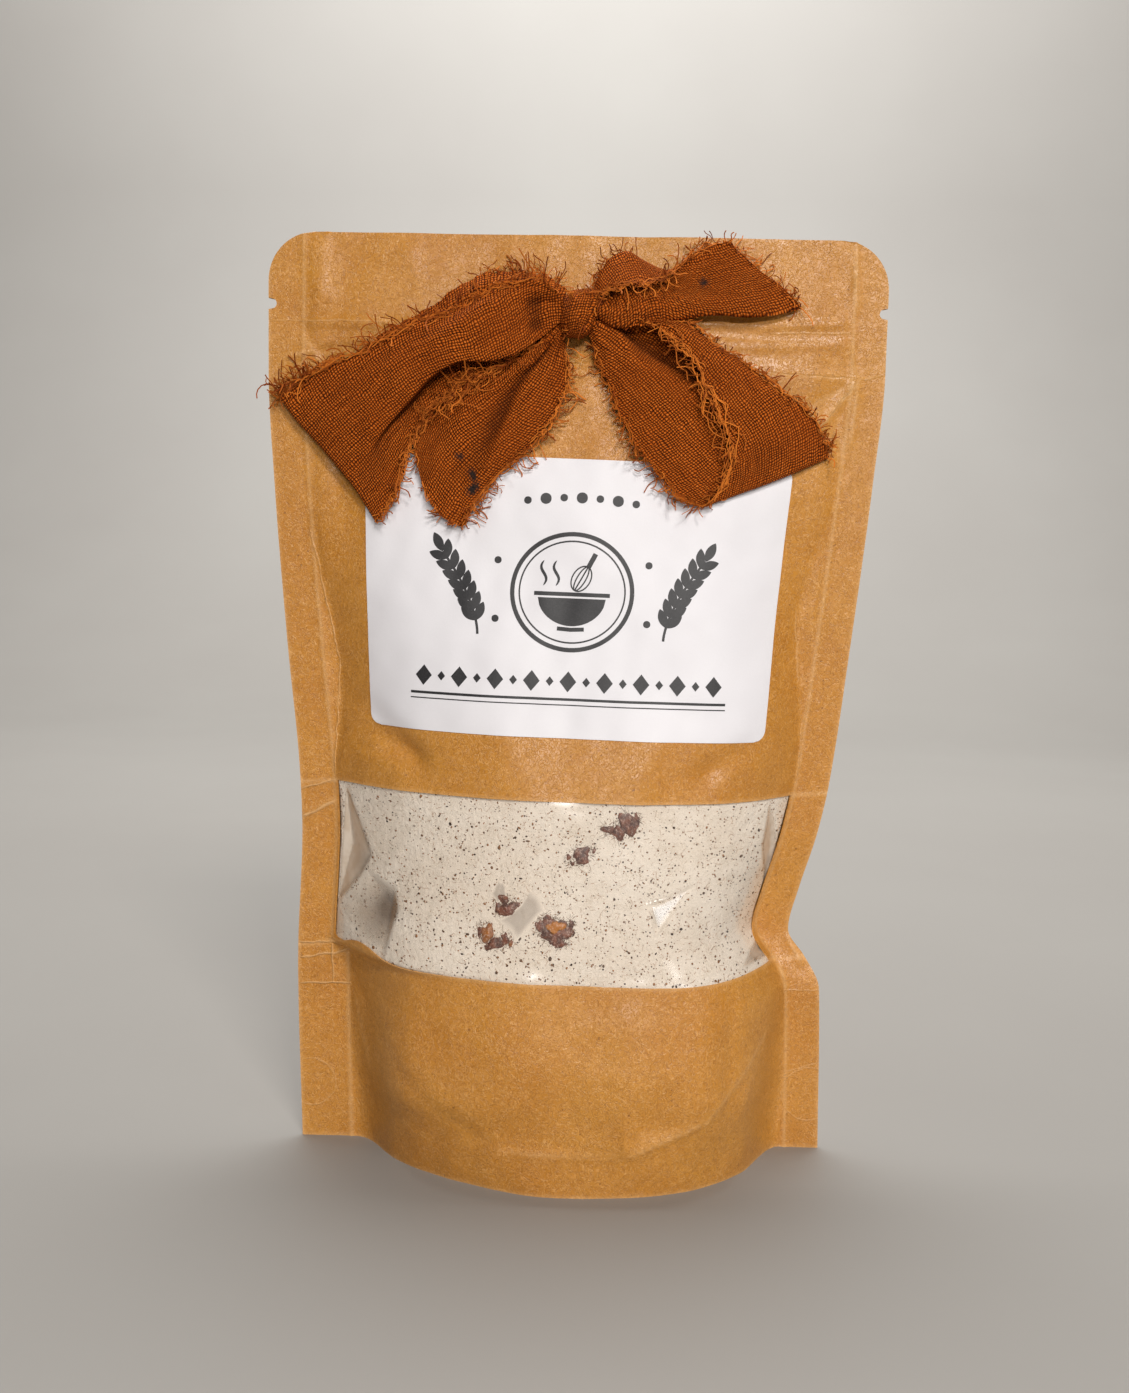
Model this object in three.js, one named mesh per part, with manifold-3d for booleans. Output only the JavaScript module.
// A stand-up pouch of pancake mix: brown kraft paper with a clear window band across the front,
// dry mix behind the window, a white label and a bow of torn cloth.
//
// Millimetres, +Z up. The pouch stands on Z = 0 with its front facing -Y, and its two heat-sealed
// side seams lie close to the plane Y = 0. The front and back panels belly out from that plane.
import * as THREE from 'three';
import { mergeVertices } from 'three/addons/utils/BufferGeometryUtils.js';
import Module from 'manifold-3d';

const wasm = await Module();
wasm.setup();

// ---------------------------------------------------------------- driving dimensions

const HEIGHT = 240; // flat pouch, foot to top edge
const HALF_SEAL = 0.5; // half of the two laminates where they are sealed together
const WALL = 0.8; // paper laminate where it is a single wall
const CORNER_RADIUS = 12; // rounded top corners
const NOTCH = { z: 223.5, depth: 1.9, radius: 1.1 }; // tear notch in each side seam
const RIM = { width: 3, height: 2 }; // standing rim of the foot, round the gusset
const MIX = { inset: 1.6, foot: 4, top: 150 }; // the mix fills the pouch up to here
const CAVITY_GAP = 0.8; // air between the mix and the paper
const FILM = { outer: 0.1, inner: 0.6, edgeGap: 0.3 }; // the window's film, below the paper's face
const ZIP = { z: 215, halfBand: 3, proud: 0.35 }; // the press-to-close strip, felt through the paper
const WINDOW = { bottom: 53.4, top: 98.2, seamGap: 3.2, skew: 0.012 };
const LABEL = { left: [-51.6, -54.4], right: [50.4, 56.6], bottom: 113.9, top: 184.2, skew: 0.02, corner: 3 };
const LABEL_SHEET = { gap: 0.35, thick: 0.4 };
const CLOTH = { thick: 1.1, clear: 1.9 }; // the bow's cloth, and its least height off the pouch

// What changes with height, as [z, value] pairs that a smooth curve runs through.
const LEFT_EDGE = [[0, -70.8], [50, -72.1], [85, -71], [100, -71.6], [135, -75], [176, -78.4], [206, -80], [240, -80]];
const RIGHT_EDGE = [[0, 70.5], [45, 69.2], [53, 65.6], [61, 60.9], [72, 63.1], [88, 67.2], [100, 69.6], [137, 73.8], [179, 77.9], [208, 80], [240, 80]];
const LEFT_SEAL_WIDTH = [[0, 13], [45, 12], [70, 9], [240, 9]];
const RIGHT_SEAL_WIDTH = [[0, 9.2], [240, 9]];
const FOOT_HUG = { reach: 0.2, top: 55 }; // low down the panels stay flat for a way beside the seams
const RIGHT_SEAM_SWING = [[0, 0], [42, 0], [61, 4], [90, 0], [240, 0]]; // where that seam buckles
const FRONT_BULGE = [[0, 33], [25, 34.2], [53, 30], [98, 23.6], [115, 20], [150, 13], [180, 8], [205, 4], [220, 1.8], [240, 0.3]];
const BACK_BULGE = [[0, 31], [25, 32], [53, 28.5], [98, 21.5], [150, 12], [180, 7], [205, 3.5], [220, 1.5], [240, 0.3]];

// Dents pressed into the front panel: centre, radii and depth.
const DENTS = [
  { x: -48, z: 80, rx: 7, rz: 15, depth: 2.6 },
  { x: 50, z: 66, rx: 7, rz: 12, depth: 2 },
  { x: -38, z: 118, rx: 14, rz: 9, depth: 1.6 },
  { x: 46, z: 30, rx: 9, rz: 16, depth: -1.6 },
];

// Soft caramel and fruit bits pressed against the window: place and size.
const BITS = [
  { x: 14.6, z: 93.2, size: 6 },
  { x: 4.2, z: 85.1, size: 5 },
  { x: -13.5, z: 72.1, size: 6 },
  { x: -17.7, z: 64.1, size: 6.5 },
  { x: -2.1, z: 66.6, size: 8 },
];
const BIT_RELIEF = 0.55; // how far a bit stands out of the mix

// ---------------------------------------------------------------- curves and small helpers

const clamp01 = (t) => Math.min(1, Math.max(0, t));
const smooth = (t) => clamp01(t) ** 2 * (3 - 2 * clamp01(t));
const lerp = (a, b, t) => a + (b - a) * t;

// A smooth function of height through [z, value] pairs, with no overshoot between them.
function profile(pairs) {
  const slope = (i) => (pairs[i + 1][1] - pairs[i][1]) / (pairs[i + 1][0] - pairs[i][0]);
  const tangent = pairs.map((_, i) => {
    if (i === 0) return slope(0);
    if (i === pairs.length - 1) return slope(i - 1);
    const before = slope(i - 1);
    const after = slope(i);
    return before * after > 0 ? (2 * before * after) / (before + after) : 0;
  });
  return (z) => {
    const last = pairs.length - 2;
    const found = pairs.findIndex((p) => p[0] > z) - 1;
    const i = found < -1 ? last : Math.min(last, Math.max(0, found));
    const step = pairs[i + 1][0] - pairs[i][0];
    const t = clamp01((z - pairs[i][0]) / step);
    const rise = (3 - 2 * t) * t * t;
    return (
      pairs[i][1] * (1 - rise) + pairs[i + 1][1] * rise +
      step * tangent[i] * t * (1 - t) ** 2 - step * tangent[i + 1] * t * t * (1 - t)
    );
  };
}

const leftEdge = profile(LEFT_EDGE);
const rightEdge = profile(RIGHT_EDGE);
const leftSealWidth = profile(LEFT_SEAL_WIDTH);
const rightSealWidth = profile(RIGHT_SEAL_WIDTH);
const rightSwing = profile(RIGHT_SEAM_SWING);
const frontBulge = profile(FRONT_BULGE);
const backBulge = profile(BACK_BULGE);

// Where a panel leaves each side seam.
const sealLeft = (z) => leftEdge(z) + leftSealWidth(z);
const sealRight = (z) => rightEdge(z) - rightSealWidth(z);

// How much the top corners' rounding takes off the width at a height.
function cornerLoss(z) {
  const rise = Math.max(0, z - (HEIGHT - CORNER_RADIUS));
  return CORNER_RADIUS - Math.sqrt(Math.max(0, CORNER_RADIUS ** 2 - rise ** 2));
}

// -1 at the left seam, 1 at the right seam.
const across = (x, z) => (2 * x - sealLeft(z) - sealRight(z)) / (sealRight(z) - sealLeft(z));

// The panels' section: a full belly that meets each seam at an angle.
function belly(s, power, fullness) {
  const inside = 1 - Math.abs(s) ** power;
  return inside > 0 ? inside ** fullness : 0;
}

// The seams' own plane, which swings back where the right seam buckles.
const seamY = (x, z) => rightSwing(z) * smooth((across(x, z) - 0.5) / 0.5);

// Where the panels still lie flat together beside the foot of each seam.
function hug(s, z) {
  const away = smooth(clamp01((1 - Math.abs(s)) / FOOT_HUG.reach) ** 0.75);
  return lerp(1, away, smooth(1 - z / FOOT_HUG.top));
}

const zipRidge = (z) => ZIP.proud * smooth((ZIP.halfBand + 0.6 - Math.abs(z - ZIP.z)) / 1.2);

function frontDepth(x, z) {
  const s = across(x, z);
  const peakShift = 0.08 * Math.max(0, 1 - s * s);
  let depth = frontBulge(z) * belly(s - peakShift, 2.3, 1.02) * hug(s, z) + zipRidge(z) * belly(s, 12, 1);
  for (const d of DENTS) {
    depth -= d.depth * Math.exp(-(((x - d.x) / d.rx) ** 2) - ((z - d.z) / d.rz) ** 2) * belly(s, 4, 1);
  }
  return Math.max(0, depth);
}

function backDepth(x, z) {
  const s = across(x, z);
  return backBulge(z) * belly(s, 2.2, 1) * hug(s, z) + zipRidge(z) * belly(s, 12, 1);
}

// A panel's height off the seam plane at a distance below its outer face, measured square to it.
function insetDepth(depth, x, z, inset) {
  const d = 0.5;
  const slopeX = (depth(x + d, z) - depth(x - d, z)) / (2 * d);
  const slopeZ = (depth(x, z + d) - depth(x, z - d)) / (2 * d);
  return depth(x, z) + HALF_SEAL - inset * Math.hypot(1, slopeX, slopeZ);
}

const frontY = (x, z, inset = 0) => seamY(x, z) - insetDepth(frontDepth, x, z, inset);
const backY = (x, z, inset = 0) => seamY(x, z) + insetDepth(backDepth, x, z, inset);

// ---------------------------------------------------------------- solids from grids

// A closed solid from two grids of points with the same layout, joined round their rims.
// grid[j][i] is a point; the first grid is the side that faces out when i x j points outwards.
function gridSolid(faceA, faceB) {
  const rows = faceA.length;
  const columns = faceA[0].length;
  const positions = [];
  for (const face of [faceA, faceB]) {
    for (const row of face) {
      for (const p of row) positions.push(p.x, p.y, p.z);
    }
  }
  const indexA = (j, i) => j * columns + i;
  const indexB = (j, i) => rows * columns + indexA(j, i);
  const triangles = [];
  const quad = (a, b, c, d) => triangles.push(a, b, c, a, c, d);
  for (let j = 0; j < rows - 1; j++) {
    for (let i = 0; i < columns - 1; i++) {
      quad(indexA(j, i), indexA(j, i + 1), indexA(j + 1, i + 1), indexA(j + 1, i));
      quad(indexB(j, i), indexB(j + 1, i), indexB(j + 1, i + 1), indexB(j, i + 1));
    }
  }
  for (let i = 0; i < columns - 1; i++) {
    quad(indexA(0, i), indexB(0, i), indexB(0, i + 1), indexA(0, i + 1));
    quad(indexA(rows - 1, i), indexA(rows - 1, i + 1), indexB(rows - 1, i + 1), indexB(rows - 1, i));
  }
  for (let j = 0; j < rows - 1; j++) {
    quad(indexA(j, 0), indexA(j + 1, 0), indexB(j + 1, 0), indexB(j, 0));
    quad(indexA(j, columns - 1), indexB(j, columns - 1), indexB(j + 1, columns - 1), indexA(j + 1, columns - 1));
  }
  const geometry = new THREE.BufferGeometry();
  geometry.setAttribute('position', new THREE.Float32BufferAttribute(positions, 3));
  geometry.setIndex(triangles);
  return geometry;
}

// A three.js geometry as a solid that can be cut and joined, turned right side out if need be.
function toSolid(geometry) {
  const bare = geometry.clone();
  bare.deleteAttribute('normal');
  bare.deleteAttribute('uv');
  const merged = mergeVertices(bare, 1e-4);
  const build = (indices) =>
    new wasm.Manifold(new wasm.Mesh({
      numProp: 3,
      vertProperties: new Float32Array(merged.attributes.position.array),
      triVerts: new Uint32Array(indices),
    }));
  const indices = Array.from(merged.index.array);
  const made = build(indices);
  return made.volume() > 0 ? made : build(indices.reverse());
}

function toGeometry(solid) {
  const mesh = solid.getMesh();
  const geometry = new THREE.BufferGeometry();
  geometry.setAttribute('position', new THREE.Float32BufferAttribute(mesh.vertProperties, 3));
  geometry.setIndex(Array.from(mesh.triVerts));
  geometry.computeVertexNormals();
  return geometry;
}

// A flat outline in X and Z as a prism along Y, from y0 to y1.
function prism(outline, y0, y1) {
  const shape = new THREE.Shape(outline.map(([x, z]) => new THREE.Vector2(x, z)));
  const geometry = new THREE.ExtrudeGeometry(shape, { depth: y1 - y0, bevelEnabled: false });
  geometry.rotateX(Math.PI / 2); // the outline's y becomes z, and the depth runs towards -Y
  geometry.translate(0, y1, 0);
  return toSolid(geometry);
}

const spread = (from, to, count) => Array.from({ length: count }, (_, i) => lerp(from, to, i / (count - 1)));

// A solid between a front and a back surface, each a function of x and z.
function lens(heights, columnsAt, front, back) {
  const face = (surface) => heights.map((z) => columnsAt(z).map((x) => new THREE.Vector3(x, surface(x, z), z)));
  return toSolid(gridSolid(face(front), face(back)));
}

// ---------------------------------------------------------------- the pouch's paper

const PANEL_COLUMNS = 22;

// Across the whole pouch: each seam's two edges, and the belly between them.
function pouchColumns(z) {
  const loss = cornerLoss(z);
  const left = leftEdge(z) + loss;
  const right = rightEdge(z) - loss;
  const seals = spread(Math.max(left + 0.5, sealLeft(z)), Math.min(right - 0.5, sealRight(z)), PANEL_COLUMNS);
  return [left, ...seals, right];
}

function pouchHeights() {
  const foot = ZIP.z - ZIP.halfBand;
  const head = ZIP.z + ZIP.halfBand;
  const body = spread(0, foot - 3, 36);
  const zip = [foot - 0.6, foot + 0.6, head - 0.6, head + 0.6, NOTCH.z];
  const corner = spread(0, Math.PI / 2, 6).map((a) => HEIGHT - CORNER_RADIUS * (1 - Math.sin(a)));
  return [...body, ...zip, ...corner];
}

// How far from the seams a space between the panels can reach before it gets too thin.
function spaceColumns(inset, count, leastDepth = 0.35) {
  const room = (x, z) => Math.min(insetDepth(frontDepth, x, z, inset), insetDepth(backDepth, x, z, inset));
  const reach = (z, side) => {
    const middle = (sealLeft(z) + sealRight(z)) / 2;
    let inner = middle;
    let outer = side < 0 ? sealLeft(z) : sealRight(z);
    for (let k = 0; k < 30; k++) {
      const tried = (inner + outer) / 2;
      if (room(tried, z) > leastDepth) inner = tried;
      else outer = tried;
    }
    return inner;
  };
  return (z) => spread(reach(z, -1), reach(z, 1), count);
}

// The window's outline. Its ends run beside the two seams.
function windowOutline(inset) {
  const heights = spread(WINDOW.bottom + inset, WINDOW.top - inset, 8);
  const tilted = (x, z) => [x, z - WINDOW.skew * x];
  const left = heights.map((z) => tilted(sealLeft(z) + WINDOW.seamGap + inset, z));
  const right = heights.map((z) => tilted(sealRight(z) - WINDOW.seamGap - inset, z));
  return [...left.reverse(), ...right];
}

function tearNotch(side) {
  const edge = side < 0 ? leftEdge(NOTCH.z) : rightEdge(NOTCH.z);
  const centre = edge - side * (NOTCH.depth - NOTCH.radius);
  const turn = spread(Math.PI / 2, (3 * Math.PI) / 2, 7);
  const round = turn.map((a) => [centre + side * NOTCH.radius * Math.cos(a), NOTCH.z + NOTCH.radius * Math.sin(a)]);
  const beyond = edge + side * 2;
  const outline = [...round, [beyond, NOTCH.z - NOTCH.radius], [beyond, NOTCH.z + NOTCH.radius]];
  return prism(side < 0 ? outline.reverse() : outline, -4, 4);
}

function pouchSolid() {
  const outer = lens(pouchHeights(), pouchColumns, (x, z) => frontY(x, z), (x, z) => backY(x, z));
  const cavityInset = MIX.inset - CAVITY_GAP;
  const cavityHeights = [MIX.foot - CAVITY_GAP, ...spread(12, MIX.top + CAVITY_GAP, 15)];
  const cavity = lens(
    cavityHeights,
    spaceColumns(cavityInset, 20),
    (x, z) => frontY(x, z, cavityInset),
    (x, z) => backY(x, z, cavityInset),
  );
  const recess = lens(
    [-1, RIM.height],
    () => spaceColumns(RIM.width, 20, 0.8)(0),
    (x) => frontY(x, 0, RIM.width),
    (x) => backY(x, 0, RIM.width),
  );
  const opening = frontSheet(windowOutline(0), -4, MIX.inset + 0.5, WINDOW.bottom, WINDOW.top);
  return outer.subtract(cavity).subtract(recess).subtract(opening)
    .subtract(tearNotch(-1)).subtract(tearNotch(1));
}

// ---------------------------------------------------------------- film, mix and label

// A sheet that follows the front panel between two depths below its face, which are negative
// above it. It shares the panel's own rows and columns, so that it keeps an even distance.
function frontSheet(outline, outer, inner, zFrom, zTo) {
  const sheet = lens(
    pouchHeights().filter((z) => z > zFrom - 10 && z < zTo + 10),
    (z) => pouchColumns(z).slice(1, -1),
    (x, z) => frontY(x, z, outer),
    (x, z) => frontY(x, z, inner),
  );
  return sheet.intersect(prism(outline, -60, 20));
}

function filmSolid() {
  return frontSheet(windowOutline(FILM.edgeGap), FILM.outer, FILM.inner, WINDOW.bottom, WINDOW.top);
}

function bitSolid(bit) {
  const lump = new THREE.IcosahedronGeometry(1, 1);
  lump.scale(bit.size / 2, BIT_RELIEF * 2, bit.size / 2);
  lump.rotateY(bit.x * 0.7);
  lump.translate(bit.x, frontY(bit.x, bit.z, MIX.inset) + BIT_RELIEF, bit.z);
  return toSolid(lump);
}

function mixSolid() {
  const heights = [MIX.foot, ...spread(12, MIX.top, 15)];
  const body = lens(
    heights,
    spaceColumns(MIX.inset, 20),
    (x, z) => frontY(x, z, MIX.inset),
    (x, z) => backY(x, z, MIX.inset),
  );
  return BITS.reduce((whole, bit) => whole.add(bitSolid(bit)), body);
}

// The label's outline: nearly a rectangle, a little narrower where the belly carries it round.
function labelOutline() {
  const corner = (side, top) => {
    const x = (side < 0 ? LABEL.left : LABEL.right)[top ? 1 : 0];
    const z = (top ? LABEL.top : LABEL.bottom) - LABEL.skew * x;
    return { x: x - side * LABEL.corner, z: z + (top ? -1 : 1) * LABEL.corner };
  };
  const quarter = (side, top, from) =>
    spread(from, from + Math.PI / 2, 4).map((a) => {
      const c = corner(side, top);
      return [c.x + LABEL.corner * Math.cos(a), c.z + LABEL.corner * Math.sin(a)];
    });
  return [
    ...quarter(1, true, 0),
    ...quarter(-1, true, Math.PI / 2),
    ...quarter(-1, false, Math.PI),
    ...quarter(1, false, (3 * Math.PI) / 2),
  ];
}

function labelSolid() {
  const { gap, thick } = LABEL_SHEET;
  return frontSheet(labelOutline(), -gap - thick, -gap, LABEL.bottom, LABEL.top);
}

// ---------------------------------------------------------------- the bow

// One torn strip, tied: each loop runs out from the knot, folds over and comes back behind
// itself, and each tail ends in a slanting cut. A band's two long edges are smooth curves
// through [x, z] points on the pouch's face, and its height off the pouch is a function.
const LEFT_LOOP = {
  upper: [[-2, 226], [-14, 228.5], [-29.5, 221.5], [-45, 215], [-61, 208.5], [-79, 199]],
  lower: [[-2, 218], [-11, 212.5], [-29, 206.5], [-38, 197], [-43.5, 186], [-51, 167.5]],
  backUpper: [[-2, 227], [-12, 231], [-24, 230.5], [-43, 219], [-61, 209], [-79, 199]],
  backLower: [[-2, 217], [-12, 209], [-28, 202], [-38, 193], [-44, 184], [-51, 167.5]],
  height: (w, v) => 8.5 - 5 * w + 2.2 * Math.sin(Math.PI * v) * (1 - w) - 2.6 * valley(v, 0.74, 0.16) * rise(w, 0.35, 0.6),
  backHeight: (w) => 4.2 - 2.2 * w,
};
const RIGHT_LOOP = {
  upper: [[3, 221], [19, 219.5], [36.5, 213.7], [51, 206.3], [62, 195.5], [68.9, 186.6]],
  lower: [[3, 219], [20, 217], [28.4, 211.7], [33.2, 201], [35.2, 190], [34, 172.5]],
  backUpper: [[3, 220], [18, 213], [34, 206], [48, 199], [60, 191], [68.9, 186.6]],
  backLower: [[0, 217], [5.5, 210.5], [9.6, 199.5], [16.8, 183], [24, 176], [34, 172.5]],
  height: (w, v) => 8 - 4.2 * w + 1.6 * Math.sin(Math.PI * v) * (1 - w),
  backHeight: (w, v) => 2.2 + 2.6 * rise(v, 0.35, 0.75) * (1 - w),
};
const LEFT_TAIL = {
  upper: [[0, 218], [-10.8, 211], [-25.6, 205.6], [-34.2, 199.9], [-39, 193.3], [-41, 184]],
  lower: [[1, 216], [-0.9, 205], [-3.8, 196], [-7.4, 188.5], [-15.6, 181.8], [-28.6, 166]],
  height: (w, v) => 2 + 3.4 * (1 - w) - 1.2 * valley(v, 0.62, 0.14) + 1.4 * rise(v, 0.62, 0.9),
};
const RIGHT_TAIL = {
  upper: [[2, 228], [9.8, 234.5], [18.2, 233.4], [24.4, 232.3], [31, 237.5], [37.6, 239.6]],
  lower: [[2, 219], [10, 217.6], [19, 218.8], [29, 220.6], [46, 221.8], [57.2, 224.1]],
  height: (w, v) => 2.2 + 5.5 * (1 - w) * (0.55 + 0.45 * Math.sin(Math.PI * v)) + 2 * rise(v, 0.7, 1) * (1 - w * 0.4),
};
const KNOT = { x: 0.8, z: 221.8, halfWidth: 5.4, halfHeight: 7.4, height: 14.5, folds: 9, fold: 0.07 };

function valley(v, centre, width) {
  return Math.exp(-(((v - centre) / width) ** 2));
}

function rise(t, from, to) {
  return smooth((t - from) / (to - from));
}

// A long edge as a curve: u runs from 0 at the knot to 1 at the far end.
function edgeCurve(points) {
  const curve = new THREE.CatmullRomCurve3(points.map(([x, z]) => new THREE.Vector3(x, 0, z)));
  return (u) => curve.getPointAt(clamp01(u));
}

// The middle of the cloth at one place along and across a band.
function bandPoint(upper, lower, w, v, height) {
  const p = upper(w).lerp(lower(w), v);
  p.y = frontY(p.x, p.z) - CLOTH.clear - height;
  return p;
}

// A sheet of cloth of even thickness about a surface of two parameters.
function clothSolid(surface, uSteps, vSteps) {
  const d = 1e-3;
  const side = (sign) =>
    spread(0, 1, uSteps).map((u) =>
      spread(0, 1, vSteps).map((v) => {
        const u0 = Math.max(0, u - d);
        const v0 = Math.max(0, v - d);
        const alongU = surface(Math.min(1, u + d), v).sub(surface(u0, v));
        const alongV = surface(u, Math.min(1, v + d)).sub(surface(u, v0));
        const normal = alongU.cross(alongV).normalize();
        return surface(u, v).addScaledVector(normal, (sign * CLOTH.thick) / 2);
      }));
  return toSolid(gridSolid(side(1), side(-1)));
}

function tailSolid(band) {
  const upper = edgeCurve(band.upper);
  const lower = edgeCurve(band.lower);
  const surface = (u, v) => bandPoint(upper, lower, u, v, band.height(u, v));
  return clothSolid(surface, 13, 8);
}

// A loop: u below a half is the layer in front, going out, and above it the one behind.
function loopSolid(band) {
  const front = [edgeCurve(band.upper), edgeCurve(band.lower)];
  const back = [edgeCurve(band.backUpper), edgeCurve(band.backLower)];
  const surface = (u, v) => {
    const w = 1 - Math.hypot(2 * u - 1, 0.03);
    const turn = rise(u, 0.44, 0.56);
    const near = bandPoint(front[0], front[1], w, v, band.height(w, v));
    const far = bandPoint(back[0], back[1], w, v, band.backHeight(w, v) - CLOTH.clear + 1.2);
    return near.lerp(far, turn);
  };
  return clothSolid(surface, 27, 7);
}

// The knot: a pinched band of cloth with upright folds.
function knotSolid() {
  const lump = new THREE.SphereGeometry(1, 28, 14);
  const place = lump.attributes.position;
  for (let i = 0; i < place.count; i++) {
    const p = new THREE.Vector3().fromBufferAttribute(place, i);
    const around = Math.atan2(p.z, p.x);
    const level = Math.abs(p.y) ** 1.6 * Math.sign(p.y);
    const girth = Math.sqrt(Math.max(0, 1 - level * level)) ** 0.6 * (1 + KNOT.fold * Math.cos(KNOT.folds * around));
    const flat = Math.hypot(p.x, p.z) || 1;
    place.setXYZ(i, (p.x / flat) * girth * KNOT.halfWidth, (-p.z / flat) * girth * (KNOT.height / 2), p.y * KNOT.halfHeight);
  }
  lump.translate(KNOT.x, frontY(KNOT.x, KNOT.z) - CLOTH.clear + 0.9 - KNOT.height / 2, KNOT.z);
  return toSolid(lump);
}

function bowSolid() {
  const tied = loopSolid(LEFT_LOOP)
    .add(loopSolid(RIGHT_LOOP))
    .add(tailSolid(LEFT_TAIL))
    .add(tailSolid(RIGHT_TAIL))
    .add(knotSolid());
  return wasm.Manifold.union(tied.decompose().filter((shell) => shell.volume() > 0));
}

// ---------------------------------------------------------------- the object

function piece(name, solid, color, roughness) {
  const material = new THREE.MeshStandardMaterial({ color, roughness, metalness: 0 });
  const mesh = new THREE.Mesh(toGeometry(solid), material);
  mesh.name = name;
  return mesh;
}

const pouch = new THREE.Group();
pouch.add(
  piece('pouch', pouchSolid(), 0xb9824a, 0.75),
  piece('window_film', filmSolid(), 0xf2f0ea, 0.1),
  piece('pancake_mix', mixSolid(), 0xe6dccb, 0.95),
  piece('label', labelSolid(), 0xe9e6e6, 0.5),
  piece('bow', bowSolid(), 0x8f4a1c, 0.9),
);

export default pouch;
